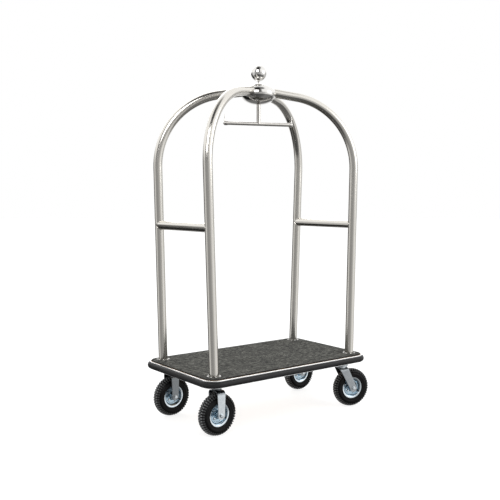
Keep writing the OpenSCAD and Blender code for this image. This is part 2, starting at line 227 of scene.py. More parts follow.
def metal(name, first, second, marks, lines, rough, relief):
    """Bare metal: its colour drifts between two over broad marks, and fine lines stand in relief. marks and
    lines are arguments of grain; rough is the least and most over the lines, and what the marks add."""
    material, tree = blank(name)
    broad = grain(tree, *marks)
    fine = grain(tree, *lines)
    coarse = maths(tree, "ADD", spread(tree, fine, rough[0], rough[1]), spread(tree, broad, 0.0, rough[2]))
    return shade(material, drift(tree, broad, first, second), coarse, 1.0, bump(tree, fine, *relief))


def brushed_steel():
    """Stainless tube, belted round its girth so that reflections draw out along it, with faint smudges."""
    material, tree = blank("brushed_steel")
    lines = grain(tree, (5, 900, 1), 4, attribute="flow")
    belt = grain(tree, (1400, 14, 1), 2, attribute="flow")
    smudge = grain(tree, 9, 4)
    colour = drift(tree, lines, (0.56, 0.54, 0.50), (0.64, 0.62, 0.58))
    rough = maths(tree, "ADD", spread(tree, belt, 0.14, 0.18), spread(tree, smudge, 0.0, 0.04))
    length = node(tree, "ShaderNodeAttribute", {}, 1, attribute_name="along")
    ahead = node(tree, "ShaderNodeVectorTransform", {0: length}, vector_type="VECTOR",
                 convert_from="OBJECT", convert_to="WORLD")
    normal = bump(tree, lines, 0.01, 0.0002)
    return shade(material, colour, rough, 1.0, normal, Anisotropic=0.4, Tangent=ahead)


def black_enamel():
    """Flanges: satin black over steel, rubbed thin and dusty in places."""
    material, tree = blank("black_enamel")
    dust = grain(tree, 60, 6, 0.65)
    peel = grain(tree, 700, 2)
    colour = drift(tree, dust, (0.012, 0.012, 0.012), (0.045, 0.044, 0.041))
    rough = spread(tree, dust, 0.32, 0.50)
    return shade(material, colour, rough, 0.0, bump(tree, peel, 0.12, 0.0002), Specular_IOR_Level=0.4)


def zinc_plate(name, dark, light, shaded, rough_low, rough_high):
    """Bright zinc plate on pressed steel: bluish, faintly mottled, with drawn lines and tiny pits, and
    darkened to the shaded colour as painted shade where the piece carries the painted light mark."""
    material, tree = blank(name)
    mottle = grain(tree, 55, 6, 0.65)
    drawn = grain(tree, (300, 300, 30), 3)
    pits = node(tree, "ShaderNodeTexVoronoi", {"Vector": stretched(tree, 420), "Scale": 1.0})
    # painted shade: the mark darkens the zinc to the shaded colour
    colour = mixed(tree, painted_light_mask(tree), drift(tree, mottle, dark, light), shaded)
    rough = maths(tree, "ADD", spread(tree, mottle, rough_low, rough_high), spread(tree, drawn, 0.0, 0.05))
    normal = bump(tree, drawn, 0.10, 0.0002, bump(tree, pits, 0.06, 0.0002))
    return shade(material, colour, rough, 1.0, normal)


def bumper_rubber():
    """Extruded rubber: near black, satin, with soft scuffs and a fine matt grain."""
    material, tree = blank("bumper_rubber")
    scuff = grain(tree, (6, 60, 1), 6, 0.6, "flow")
    skin = grain(tree, 900, 2)
    colour = drift(tree, scuff, (0.0060, 0.0060, 0.0064), (0.0135, 0.0135, 0.0142))
    rough = spread(tree, scuff, 0.38, 0.56)
    return shade(material, colour, rough, 0.0, bump(tree, skin, 0.25, 0.0003), Specular_IOR_Level=0.22)


def tyre_rubber():
    """Tyre: black with dust in its grain; the lugs' tops are a lighter grey, partly rubbed by use and partly
    a painted highlight.
    """
    material, tree = blank("tyre_rubber")
    dust = grain(tree, 70, 6, 0.65)
    skin = grain(tree, 1100, 2)
    black = drift(tree, dust, (0.0022, 0.0022, 0.0026), (0.0065, 0.0064, 0.0062))
    # lug tops: rubbed grey from use, lightened further as a painted highlight
    rubbed = drift(tree, dust, (0.105, 0.107, 0.109), (0.195, 0.198, 0.200))
    colour = mixed(tree, painted_light_mask(tree), black, rubbed)
    rough = spread(tree, dust, 0.38, 0.56)
    return shade(material, colour, rough, 0.0, bump(tree, skin, 0.3, 0.0003), Specular_IOR_Level=0.13)


def cut_pile():
    """Charcoal carpet: tufts of three greys, under flecks and broad brushed patches, with painted shade at
    the edge.
    """
    material, tree = blank("cut_pile")
    tufts = tree.nodes.new("ShaderNodeTexVoronoi")
    put(tree, tufts.inputs["Vector"], stretched(tree, 1))
    put(tree, tufts.inputs["Scale"], 330.0)
    tint = node(tree, "ShaderNodeSeparateColor", {0: tufts.outputs["Color"]})
    broad = grain(tree, (9, 14, 1), 6, 0.62)
    flecks = grain(tree, (42, 55, 1), 5, 0.75)
    greys = [(0.0, (0.028, 0.028, 0.024)), (0.5, (0.060, 0.060, 0.053)), (1.0, (0.112, 0.111, 0.098))]
    patches = ramp(tree, broad, [(0.36, 0.57), (0.64, 1.21)])
    patched = mixed(tree, 1.0, ramp(tree, tint, greys), patches, "MULTIPLY")
    flecked = mixed(tree, 1.0, patched, ramp(tree, flecks, [(0.42, 0.26), (0.58, 1.60)]), "MULTIPLY")
    # painted shade along the carpet's edge, next to the trim
    colour = mixed(tree, painted_light_mask(tree), flecked, (0.008, 0.008, 0.0075))
    pile = bump(tree, tufts.outputs["Distance"], 0.9, -0.0012)
    return shade(material, colour, 0.95, 0.0, pile, Specular_IOR_Level=0.08, Sheen_Weight=0.05)


def plywood():
    """Birch plywood: veneer grain on the faces, plies stacked through the thickness."""
    material, tree = blank("plywood")
    rings = node(tree, "ShaderNodeTexWave", {"Vector": stretched(tree, (1.5, 26, 0)), "Scale": 1.0,
                 "Distortion": 6.0, "Detail": 4.0, "Detail Scale": 1.2}, 1)
    fibre = grain(tree, (12, 420, 420), 4)
    plies = node(tree, "ShaderNodeTexWave", {"Vector": stretched(tree, (0, 0, 1)), "Scale": 165.0},
                 1, bands_direction="Z")
    veneer = mixed(tree, rings, (0.40, 0.25, 0.13), (0.58, 0.41, 0.25))
    colour = mixed(tree, maths(tree, "MULTIPLY", plies, 0.25), veneer, (0.24, 0.14, 0.07))
    return shade(material, colour, spread(tree, fibre, 0.5, 0.7), 0.0, bump(tree, fibre, 0.2, 0.0003))


def pale_floor():
    """A white floor with faint clouds, which glows a little so that the shadows on it stay soft."""
    material, tree = blank("pale_floor")
    colour = drift(tree, grain(tree, 0.8, 4), (0.34, 0.34, 0.34), (0.36, 0.36, 0.36))
    return shade(material, colour, 0.9, Specular_IOR_Level=0.0, Emission_Color=(1, 1, 1, 1),
                 Emission_Strength=0.78)


MIRROR = metal("mirror_steel", (0.60, 0.59, 0.57), (0.68, 0.67, 0.65), (45, 6), (18, 2),
               (0.07, 0.07, 0.06), (0.03, 0.002))
SATIN = metal("satin_steel", (0.58, 0.56, 0.53), (0.70, 0.68, 0.65), (25, 4), ((60, 60, 900), 3),
              (0.12, 0.20, 0.05), (0.08, 0.0002))
TRIM = metal("bright_trim", (0.90, 0.90, 0.90), (0.97, 0.97, 0.97), (14, 5), ((4, 900, 1), 3, 0.5, "flow"),
             (0.20, 0.30, 0.10), (0.08, 0.0002))
MILL = metal("mill_alloy", (0.38, 0.39, 0.40), (0.55, 0.56, 0.57), (30, 7, 0.6), ((20, 500, 500), 3),
             (0.38, 0.38, 0.17), (0.15, 0.0003))
BRONZE = metal("sintered_bronze", (0.34, 0.20, 0.09), (0.55, 0.37, 0.18), (600, 3), (600, 3),
               (0.30, 0.45, 0.0), (0.2, 0.0002))
# the shaded colour is painted shade, for forks, plates and necks under the deck
ZINC = zinc_plate("zinc_plate", (0.50, 0.54, 0.57), (0.70, 0.74, 0.76), (0.06, 0.065, 0.07), 0.18, 0.32)
# the shaded colour is painted shade, in the rims' dish
RIM_ZINC = zinc_plate("rim_zinc", (0.60, 0.67, 0.72), (0.80, 0.87, 0.91), (0.37, 0.48, 0.56), 0.09, 0.20)

FINISH = {
    "carpet": cut_pile(), "plywood": plywood(), "frame_alloy": MILL, "trim": TRIM,
    "bumper_rubber": bumper_rubber(), "tube_steel": brushed_steel(), "flange_steel": black_enamel(),
    "screw_steel": MIRROR, "polished_steel": MIRROR, "rail_steel": SATIN, "core_steel": MILL,
    "bronze": BRONZE, "zinc_steel": ZINC, "rim_steel": RIM_ZINC, "tyre_rubber": tyre_rubber(),
}

# What each CAD node that stays in sight is finished in
NODE_FINISH = {
    "deck_board": "plywood", "deck_frame": "frame_alloy", "hub_core": "core_steel", "rail_bush": "bronze",
}


# ---------- mesh helpers ----------

def build(name, vertices, faces, flow=None, along=None, sharp=35):
    """A smooth-shaded object with edges sharper than an angle kept sharp. flow is each vertex's place along
    and round the piece, in metres, with its painted light mark from 0 to 1; along is the direction of its
    length."""
    mesh = bpy.data.meshes.new(name)
    mesh.from_pydata([tuple(v) for v in vertices], [], faces)
    mesh.shade_smooth()
    mesh.set_sharp_from_angle(angle=radians(sharp))
    for attribute, values in (("flow", flow), ("along", along)):
        if values:
            data = mesh.attributes.new(attribute, "FLOAT_VECTOR", "POINT").data
            data.foreach_set("vector", [x for value in values for x in value])
    piece = bpy.data.objects.new(name, mesh)
    bpy.context.scene.collection.objects.link(piece)
    return piece


def grid_faces(rows, columns, close_rows=False, close_columns=False):
    """Quads of a grid of vertices, wrapped round where asked."""
    faces = []
    for i in range(rows if close_rows else rows - 1):
        for j in range(columns if close_columns else columns - 1):
            k, m = (i + 1) % rows, (j + 1) % columns
            faces.append((i * columns + j, i * columns + m, k * columns + m, k * columns + j))
    return faces


def lathe(name, profile, segments=64, place=None, closed=False, radius_at=None, worn=None):
    """Turns a profile of (radius, height) points round Z. An open profile's ends are capped.
    radius_at(radius, height, angle) may change a point's radius; worn(radius) gives its painted shade mark."""
    vertices, flow = [], []
    for i in range(segments):
        a = 2 * pi * i / segments
        run = 0.0
        for j, (r, z) in enumerate(profile):
            if j:
                run += math.dist(profile[j - 1], (r, z))
            bent = radius_at(r, z, a) if radius_at else r
            vertices.append(Vector((bent * cos(a), bent * sin(a), z)))
            flow.append((run, a * TURNED_GIRTH, worn(r) if worn else 0.0))
    n = len(profile)
    faces = grid_faces(segments, n, True, closed)
    if not closed:
        faces.append(tuple(i * n for i in range(segments))[::-1])
        faces.append(tuple(i * n + n - 1 for i in range(segments)))
    if place:
        vertices = [place @ v for v in vertices]
    return build(name, vertices, faces, flow)


def tube_frames(points):
    """Direction and two cross directions at each point of a path, without twist."""
    frames, cross = [], None
    for i in range(len(points)):
        ahead = (points[min(i + 1, len(points) - 1)] - points[max(i - 1, 0)]).normalized()
        if cross is None:
            cross = ahead.orthogonal()
        cross = (cross - ahead * cross.dot(ahead)).normalized()
        frames.append((ahead, cross, ahead.cross(cross)))
    return frames


def tube(name, points, radius_at, segments=48, wall=0.0, closed=False):
    """A pipe along a path: solid with capped ends, hollow if it has a wall, or a closed ring. radius_at is a
    function of the point's number."""
    frames = tube_frames(points)
    runs = [0.0]
    for before, after in zip(points, points[1:]):
        runs.append(runs[-1] + (after - before).length)
    rows = [(i, 0.0) for i in range(len(points))]
    if wall:
        rows += [(i, wall) for i in reversed(range(len(points)))]
    vertices, flow, along = [], [], []
    for i, shell in rows:
        ahead, e1, e2 = frames[i]
        r = radius_at(i) - shell
        for j in range(segments):
            a = 2 * pi * j / segments
            vertices.append(points[i] + e1 * r * cos(a) + e2 * r * sin(a))
            flow.append((runs[i], a * TUBE_GIRTH, 0.0))
            along.append(ahead)
    endless = closed or wall > 0
    faces = [f[::-1] for f in grid_faces(len(rows), segments, endless, True)]
    if not endless:
        faces.append(tuple(range(segments)))
        faces.append(tuple((len(rows) - 1) * segments + j for j in range(segments))[::-1])
    return build(name, vertices, faces, flow, along)


def deck_band(name, section):
    """A closed section of (distance out from the corner's centre, height) swept round the deck."""
    vertices, flow = [], []
    steps = 24
    run, last = 0.0, None
    for q, (sx, sy) in enumerate(QUADRANTS):
        centre = Vector((sx * (DECK_HX - CORNER_R), sy * (DECK_HY - CORNER_R), 0))
        for i in range(steps + 1):
            a = pi / 2 * (q + i / steps)
            out = Vector((cos(a), sin(a), 0))
            edge = centre + out * CORNER_R
            if last is not None:
                run += (edge - last).length
            last = edge
            girth = 0.0
            for j, (d, z) in enumerate(section):
                if j:
                    girth += math.dist(section[j - 1], (d, z))
                vertices.append(centre + out * d + Vector((0, 0, z)))
                flow.append((run, girth, 0.0))
    return build(name, vertices, grid_faces(4 * (steps + 1), len(section), True, True), flow)


def soften(piece, width):
    """Rounds a piece's sharp edges."""
    bevel = piece.modifiers.new("edge", "BEVEL")
    bevel.width = width
    bevel.segments = 2
    bevel.limit_method = "ANGLE"
    bevel.angle_limit = radians(40)
    bevel.harden_normals = False
    return piece


def joined(name, pieces):
    """One object made of several, with their modifiers applied."""
    depsgraph = bpy.context.evaluated_depsgraph_get()
    vertices, faces, kept = [], [], {"flow": [], "along": []}
    for piece in pieces:
        mesh = piece.evaluated_get(depsgraph).to_mesh()
        shift = len(vertices)
        vertices += [v.co.copy() for v in mesh.vertices]
        faces += [tuple(shift + v for v in p.vertices) for p in mesh.polygons]
        for attribute, values in kept.items():
            found = mesh.attributes.get(attribute)
            plain = [(0.0, 0.0, 1.0)] * len(mesh.vertices)
            values += [d.vector.copy() for d in found.data] if found else plain
        piece.evaluated_get(depsgraph).to_mesh_clear()
    for piece in pieces:
        bpy.data.objects.remove(piece)
    return build(name, vertices, faces, kept["flow"], kept["along"])


def done(piece, slot, body, *nodes):
    """Finishes a piece: gives it its slot's material, attaches it to the body it rides on and hides the CAD
    nodes it stands for.
    """
    piece.data.materials.clear()
    piece.data.materials.append(FINISH[slot])
    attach(piece, body)
    if nodes:
        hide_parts(*nodes)


def arc(cx, cy, r, start, end, steps):
    """Points on an arc, in degrees."""
    return [(cx + r * cos(radians(start + (end - start) * i / steps)),
             cy + r * sin(radians(start + (end - start) * i / steps))) for i in range(steps + 1)]


# ---------- deck ----------

def make_carpet():
    """Pile with rolled edges, in the tray that the trim makes. Its skin is pressed and lifted by tufts."""
    hx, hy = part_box("carpet")[1].x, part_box("carpet")[1].y
    corner = CORNER_R - (DECK_HX - hx)
    roll = 0.004
    cell = 0.0042

    def lines(half):
        edge = [half - roll * (1 - cos(pi / 2 * i / 5)) for i in range(6)]
        inner = half - roll
        count = int(2 * inner / cell)
        return [-e for e in edge] + [-inner + 2 * inner * i / count for i in range(1, count)] + edge[::-1]

    xs, ys = lines(hx), lines(hy)
    vertices, flow = [], []
    for y in ys:
        over = max(0.0, abs(y) - (hy - corner))
        reach = hx - corner + sqrt(max(0.0, corner ** 2 - over ** 2))
        for x in xs:
            px = x * reach / hx
            depth = min(reach - abs(px), hy - abs(y))
            dx, dy = abs(px) - (hx - corner), abs(y) - (hy - corner)
            if dx > 0 and dy > 0:
                depth = corner - math.hypot(dx, dy)
            share = min(1.0, max(0.0, depth / roll))
            fall = (1 - sqrt(1 - (1 - share) ** 2)) * -BOARD_TOP
            tuft = noise.noise(Vector((px * 190, y * 190, 0.3))) * 0.00045
            worn = noise.noise(Vector((px * 9, y * 9, 4.1))) * 0.0004
            vertices.append(Vector((px, y, min(-0.0001, -0.0008 - fall + (tuft + worn) * share))))
            # third value: painted shade near the carpet's edge
            flow.append((px, y, min(0.85, max(0.0, 1.3 - depth / 0.007))))
    rows, columns = len(ys), len(xs)
    faces = grid_faces(rows, columns)
    rim = list(range(columns)) + [i * columns + columns - 1 for i in range(1, rows)]
    rim += [(rows - 1) * columns + j for j in range(columns - 2, -1, -1)]
    rim += [i * columns for i in range(rows - 2, 0, -1)]
    faces.append(tuple(rim[::-1]))
    done(build("carpet_pile", vertices, faces, flow, sharp=80), "carpet", "root", "carpet")


def make_edging():
    """Bright channel round the deck, with a rolled nose and a foot, and the rubber strip held in it."""
    back, lip, t = CORNER_R - 0.0152, CORNER_R - 0.012, 0.002
    top, low = TRACK_TOP, DECK_BOTTOM
    nose = 0.0009
    section = (
        [(back - t, low), (back - t, top - 0.0004), (back - t + 0.0004, top)]
        + arc(lip - nose, top - nose, nose, 90, 0, 4)
        + arc(lip - nose, top - 0.005 + nose, nose, 0, -90, 4)
        + [(lip - t, top - 0.005), (lip - t, top - t), (back, top - t), (back, low + t)]
        + [(lip - 0.0004, low + t), (lip, low + t - 0.0004), (lip, low + 0.0004), (lip - 0.0004, low)]
    )
    done(deck_band("edge_trim", section), "trim", "root", "bumper_track")
    top, low = TRACK_TOP - 0.0053, DECK_BOTTOM + 0.0023
    round_deep, inner = 0.012, CORNER_R - 0.01515
    centre_z, half = (top + low) / 2, (top - low) / 2
    face = [(CORNER_R - round_deep * (1 - cos(radians(a))), centre_z + half * sin(radians(a)))
            for a in range(-86, 87, 6)]
    flat = CORNER_R - round_deep - 0.0004
    section = [(inner, low), (flat, low)] + face + [(flat, top), (inner, top)]
    done(deck_band("bumper_strip", section), "bumper_rubber", "root", "bumper")


# ---------- posts and crossbars ----------

def post_line(sx, sy):
    """Centreline of a post: straight foot, bend and arm, from inside the deck to inside the hub."""
    sunk, hidden_r = 0.0045, 0.063
    foot = Vector((sx * POST_DX / 2, sy * POST_DY / 2, 0))
    knee = Vector((sx * (POST_DX / 2 + tan(SPLAY) * KNEE_Z), sy * (POST_DY / 2 - tan(TUCK) * KNEE_Z), KNEE_Z))
    up = (knee - foot).normalized()
    inward = Vector((-knee.x, -knee.y, 0)).normalized()
    rise = (up - inward * up.dot(inward)).normalized()
    arm = inward * cos(ARM_RISE) + rise * sin(ARM_RISE)
    turn = up.angle(arm)
    across = (arm - up * arm.dot(up)).normalized()
    start = knee - up * (BEND_R * tan(turn / 2))
    steps = 40
    points = [foot - up * sunk + (start - foot) * (i / 24) for i in range(24)]
    for i in range(steps + 1):
        a = turn * i / steps
        points.append(start + across * BEND_R * (1 - cos(a)) + up * BEND_R * sin(a))
    far = knee + arm * ((Vector((knee.x, knee.y)).length - hidden_r) / cos(ARM_RISE))
    return points + [points[-1].lerp(far, i / 4) for i in range(1, 5)]


def weld_bead(points, size):
    """A closed bead with the small overlapping ripples of a hand weld."""
    return tube("bead", points, lambda i: size * (0.86 + 0.14 * abs(sin(pi * i / 3.0 + 0.4 * sin(i * 0.7)))),
                10, closed=True)


def make_posts():
    """The four bent tubes."""
    for corner, (sx, sy) in CORNERS.items():
        post = tube("post_tube_" + corner, post_line(sx, sy), lambda i: TUBE_R, 56, wall=0.002)
        done(post, "tube_steel", "root", "post_" + corner)


def make_crossbars():
    """Each crossbar is coped to its two posts and welded all round."""
    r = TUBE_R - 0.0004
    segments = 56
    rows = 14
    for side, sx in (("left", -1), ("right", 1)):
        x = sx * (POST_DX / 2 + tan(SPLAY) * CROSSBAR_Z)
        y = POST_DY / 2 - tan(TUCK) * CROSSBAR_Z
        vertices, flow = [], []
        ends = {-1: [], 1: []}
        for j in range(segments):
            a = 2 * pi * j / segments
            px, pz = x + r * cos(a), CROSSBAR_Z + r * sin(a)
            reach = y - sqrt(TUBE_R ** 2 - (r * cos(a)) ** 2) - 0.0001
            for s in (-1, 1):
                ends[s].append(Vector((px, s * reach, pz)))
            for i in range(rows + 1):
                py = reach * (2 * i / rows - 1)
                vertices.append(Vector((px, py, pz)))
                flow.append((py, a * TUBE_GIRTH, 0.0))
        faces = grid_faces(segments, rows + 1, True)
        bar = build("bar", vertices, faces, flow, [(0.0, 1.0, 0.0)] * len(vertices))
        beads = [weld_bead(ends[s], 0.0017) for s in (-1, 1)]
        done(joined("crossbar_tube_" + side, [bar] + beads), "tube_steel", "root", "crossbar_" + side)


def screw_head(at, twist):
    """Domed head with a six-sided socket."""
    def hexed(r, _, a):
        if r > 0.0016 or r < 0.0001:
            return r
        return r / cos((a - twist + pi / 6) % (pi / 3) - pi / 6)

    profile = [(0.0043, 0.0), (0.0043, 0.0006), (0.0040, 0.0013), (0.0033, 0.0019), (0.0024, 0.0023),
               (0.0018, 0.00238), (0.0013, 0.0023), (0.0013, 0.0009), (0.00005, 0.0009)]
    return lathe("screw", profile, 24, Matrix.Translation(at), radius_at=hexed)


def make_flanges():
    """Low ring with a rolled edge round each post's foot, and its screws."""
    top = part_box("flange_front_left")[1].z
    outer, screw_circle = 0.037, 0.031
    profile = ([(TUBE_R + 0.0006, BOARD_TOP), (outer, BOARD_TOP)]
               + arc(outer - 0.001, top - 0.001, 0.001, 0, 90, 4)
               + [(TUBE_R + 0.0012, top), (TUBE_R + 0.0006, top - 0.0005)])
    screws = []
    for corner, (sx, sy) in CORNERS.items():
        foot = Vector((sx * POST_DX / 2, sy * POST_DY / 2, 0))
        ring = lathe("flange_ring_" + corner, profile, 72, Matrix.Translation(foot), closed=True)
        done(ring, "flange_steel", "root", "flange_" + corner)
        start = math.atan2(sy * POST_DY, sx * POST_DX)
        for i in range(8):
            a = start + 2 * pi * i / 8
            at = foot + Vector((screw_circle * cos(a), screw_circle * sin(a), top))
            screws.append(screw_head(at, 0.4 + 1.9 * i + sx))
    done(joined("flange_screw_heads", screws), "screw_steel", "root", "flange_screws")


# ---------- hub, ball and rail ----------

def make_hub():
    """Two spun shells that meet in a fine seam, polished to a mirror."""
    t = 0.003
    for name, s, hole, shift in (("lower", -1, ROD_R + 0.0008, 0.0), ("upper", 1, 0.0053, 0.00005)):
        seam, limit = 0.35, math.degrees(math.acos(hole / HUB_RX))
        limit_in = math.degrees(math.acos(hole / (HUB_RX - t)))
        outer = [seam + (limit - seam) * i / 40 for i in range(41)]
        inner = [limit_in * (1 - i / 16) for i in range(17)]
        profile = [(HUB_RX - 0.0003, shift)]
        for angles, rx, rz in ((outer, HUB_RX, HUB_RZ), (inner, HUB_RX - t, HUB_RZ - t)):
            profile += [(rx * cos(radians(a)), s * rz * sin(radians(a)) + shift) for a in angles]
        if s < 0:
            profile = profile[::-1]
        shell = lathe("hub_shell_" + name, profile, 128, Matrix.Translation((0, 0, HUB_Z)), closed=True)
        done(shell, "polished_steel", "root", f"hub_{name}_shell")


def make_finial():
    """Ball on a short threaded stem with a turned collar at each end."""
    bottom = BALL_Z - BALL_R
    start = HUB_Z + HUB_RZ - 0.0030
    stem = [(0.0001, start - 0.02), (0.005, start - 0.02), (0.005, start + 0.0015), (0.0088, start + 0.0018),
            (0.0092, start + 0.0028), (0.0088, start + 0.0052), (0.0062, start + 0.0062),
            (0.005, start + 0.0072), (0.005, bottom - 0.0032), (0.0068, bottom - 0.0024),
            (0.0074, bottom - 0.0010), (0.0074, bottom + 0.0012), (0.0001, bottom + 0.0012)]
    done(lathe("finial_neck", stem, 40), "polished_steel", "root", "finial_stem")
    n = 64
    ball = [(max(0.00002, BALL_R * sin(pi * i / n)), BALL_Z - BALL_R * cos(pi * i / n)) for i in range(n + 1)]
    done(lathe("finial_globe", ball, 128), "polished_steel", "root", "finial_ball")


def make_rail():
    """Drop rod with its collar, cross rail, and the two capped ends with their hanger pins."""
    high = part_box("drop_rod")[1].z
    shank = [(ROD_R, RAIL_Z + (high - 0.012 - RAIL_Z) * i / 6) for i in range(7)]
    rod = lathe("rod", [(0.0001, RAIL_Z)] + shank + [
        (0.0188, high - 0.0114), (0.0190, high - 0.0110), (0.0190, high - 0.0030), (0.0186, high - 0.0026),
        (ROD_R, high - 0.0024), (ROD_R, high), (0.0001, high)], 56)
    seam = []
    for i in range(48):
        a = 2 * pi * i / 48
        across = ROD_R * sin(a - RAIL_TURN)
        lift = sqrt(max(0.0, RAIL_R ** 2 - across ** 2))
        seam.append(Vector((ROD_R * cos(a), ROD_R * sin(a), RAIL_Z + lift)))
    done(joined("rail_drop_rod", [rod, weld_bead(seam, 0.0011)]), "rail_steel", "rail", "drop_rod")
    along = Vector((cos(RAIL_TURN), sin(RAIL_TURN), 0))
    centre = Vector((0, 0, RAIL_Z))
    points = [centre + along * RAIL_HALF * (2 * i / 12 - 1) for i in range(13)]
    done(tube("rail_tube", points, lambda i: RAIL_R, 40), "rail_steel", "rail", "garment_rail")
    cap_r, half = RAIL_R + 0.0022, 0.012
    collar = [(RAIL_R, -half), (cap_r - 0.0012, -half), (cap_r - 0.0003, -half + 0.0007),
              (cap_r, -half + 0.002), (cap_r, -half + 0.0045), (cap_r - 0.0008, -half + 0.0052),
              (cap_r - 0.0008, -half + 0.0066), (cap_r, -half + 0.0074)]
    dome = [(cap_r * cos(radians(a)), half - 0.0115 + 0.0115 * sin(radians(a))) for a in range(0, 89, 8)]
    for side, s in (("left", -1), ("right", 1)):
        at = centre + along * RAIL_HALF * s
        turn = Matrix.Rotation(RAIL_TURN, 4, "Z") @ Matrix.Rotation(s * pi / 2, 4, "Y")
        cap = lathe("cap", collar + dome + [(0.0001, half)], 44, Matrix.Translation(at) @ turn)
        base = at + along * s * 0.004 + Vector((0, 0, cap_r - 0.0015))
        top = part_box("rail_end_" + side)[1].z - base.z
        pin = lathe("pin", [(0.0001, 0), (0.0060, 0), (0.0060, 0.0030), (0.0052, 0.0042), (0.0034, 0.0048),
                            (0.0025, 0.0066), (0.0022, 0.014), (0.0018, top - 0.004), (0.0014, top - 0.0012),
                            (0.0006, top - 0.0001), (0.0001, top)], 28, Matrix.Translation(base))
        done(joined("rail_knob_" + side, [cap, pin]), "rail_steel", "rail", "rail_end_" + side)


# ---------- casters ----------

def caster_frame(corner):
    """Place of a caster's fork: origin on the kingpin line at the deck's level, +X along the trail."""
    sx, sy = CORNERS[corner]
    return Matrix.Translation((sx * CASTER_X, sy * CASTER_Y, 0)) @ Matrix.Rotation(TURN[corner], 4, "Z")


def wheel_frame(corner):
    """Place of a wheel: origin on its centre, +Z along the axle towards the rear."""
    trail = TRAIL[corner.split("_")[1]]
    return caster_frame(corner) @ Matrix.Translation((trail, 0, AXLE_Z)) @ Matrix.Rotation(-pi / 2, 4, "X")


def leg_span(z, trail, top, tip_r):
    """Left and right edge of a fork leg at a height."""
    spans = []
    for x_top, angle in ((top[0], radians(205)), (top[1], radians(5))):
        tx, tz = trail + tip_r * cos(angle), AXLE_Z + tip_r * sin(angle)
        if z > tz:
            spans.append(tx + (x_top - tx) * (z - tz) / (CROWN_TOP - tz))
        else:
            half = sqrt(max(0.0, tip_r ** 2 - (z - AXLE_Z) ** 2))
            spans.append(trail + math.copysign(half, cos(angle)))
    return spans


def fork_sheet(trail, top, shoulders, painted_shade, place):
    """Pressed fork: one sheet bent over the wheel and round at its tips. top is a leg's left and right edge
    at the crown; shoulders are the heights where the bend starts on those edges; the pair after them is how
    much painted shade darkens the legs and the bend, for forks in shade under the deck."""
    tip_r = 0.020
    low = AXLE_Z - tip_r
    across = 10

    def place_on(stage, share, f):
        """Place and outward normal at a share of a stage of the leg, f of the way from left to right."""
        bend_z = shoulders[0] + (shoulders[1] - shoulders[0]) * f
        deep = CROWN_TOP - bend_z
        inset = min(0.022, 0.95 * deep)
        x_crown = top[0] + (top[1] - top[0]) * f
        if stage == "crown":
            return Vector((x_crown, (FORK_OUT - inset) * (1 - share), CROWN_TOP)), Vector((0, 0, 1))
        z = low + (bend_z - low) * share if stage == "leg" else bend_z
        x0, x1 = leg_span(z, trail, top, tip_r)
        x = x0 + (x1 - x0) * f
        if stage == "leg":
            return Vector((x, FORK_OUT, z)), Vector((0, 1, 0))
        c, s = cos(pi / 2 * share), sin(pi / 2 * share)
        at = Vector((x + (x_crown - x) * s, FORK_OUT - inset * (1 - c), bend_z + deep * s))
        return at, Vector((0, c / inset, s / deep)).normalized()

    leg = [1.6 * tip_r / (shoulders[0] - low) * (1 - cos(pi / 2 * i / 12)) for i in range(13)]
    leg += [leg[-1] + (1 - leg[-1]) * i / 8 for i in range(1, 8)]
    stages = [("leg", s) for s in leg] + [("bend", i / 10) for i in range(11)]
    stages += [("crown", i / 4) for i in range(1, 5)]
    rows = [(stage, share, 1) for stage, share in stages]
    rows += [(stage, share, -1) for stage, share in stages[-2::-1]]
    vertices, flow = [], []
    for stage, share, side in rows:
        bent = {"leg": 0.0, "bend": min(1.0, 4 * share), "crown": 1.0}[stage]
        for inner in (0.0, FORK_T):
            for j in range(across + 1):
                at, out = place_on(stage, share, (across - j if inner else j) / across)
                at = at - out * inner
                vertices.append(place @ Vector((at.x, side * at.y, at.z)))
                # third value: painted shade, from the legs' amount to the bend's
                flow.append((at.z, at.x, painted_shade[0] + (painted_shade[1] - painted_shade[0]) * bent))
    ring = 2 * (across + 1)
    faces = grid_faces(len(rows), ring, False, True)
    faces.append(tuple(range(ring))[::-1])
    faces.append(tuple((len(rows) - 1) * ring + j for j in range(ring)))
    return soften(build("sheet", vertices, faces, flow, sharp=50), 0.0007)


def top_plate(painted_shade, place):
    """Caster's top plate, with round corners; its first argument is how much painted shade darkens it under
    the deck.
    """
    hx, hy, r = 0.055, 0.0475, 0.010
    ring = []
    for q, (sx, sy) in enumerate(QUADRANTS):
        ring += arc(sx * (hx - r), sy * (hy - r), r, 90 * q, 90 * q + 90, 8)
    vertices = [place @ Vector((x, y, z)) for z in (PLATE_BOTTOM, DECK_BOTTOM - 0.00002) for x, y in ring]
    n = len(ring)
    faces = [(i, (i + 1) % n, n + (i + 1) % n, n + i) for i in range(n)]
    faces += [tuple(range(n))[::-1], tuple(n + i for i in range(n))]
    flow = [(v.x, v.y, painted_shade) for v in vertices]
    return soften(build("plate", vertices, faces, flow, sharp=50), 0.0006)


def hex_bolt(place, across, height, washer=0.0, shank=0.0, shank_r=0.004):
    """Hexagon head with a chamfered face on a washer; +Z points out of the head."""
    radius = across / sqrt(3)

    def hexed(r, z, a):
        flat = radius * cos(pi / 6) / cos((a % (pi / 3)) - pi / 6)
        if z <= washer + 1e-6 or r < radius * 0.8:
            return r
        return min(flat, r) if z > washer + height - 0.001 else min(flat, radius)

    profile = [(0.0001, -shank), (shank_r, -shank), (shank_r, 0.0)]
    if washer:
        profile += [(radius * 1.22, 0.0), (radius * 1.22, washer * 0.8), (radius * 1.18, washer)]
    profile += [(radius, washer), (radius, washer + 1e-5), (radius, washer + height - 0.0012),
                (radius * 0.93, washer + height - 0.0003), (radius * 0.80, washer + height),
                (0.0001, washer + height)]
    return lathe("bolt", profile, 48, place, radius_at=hexed)


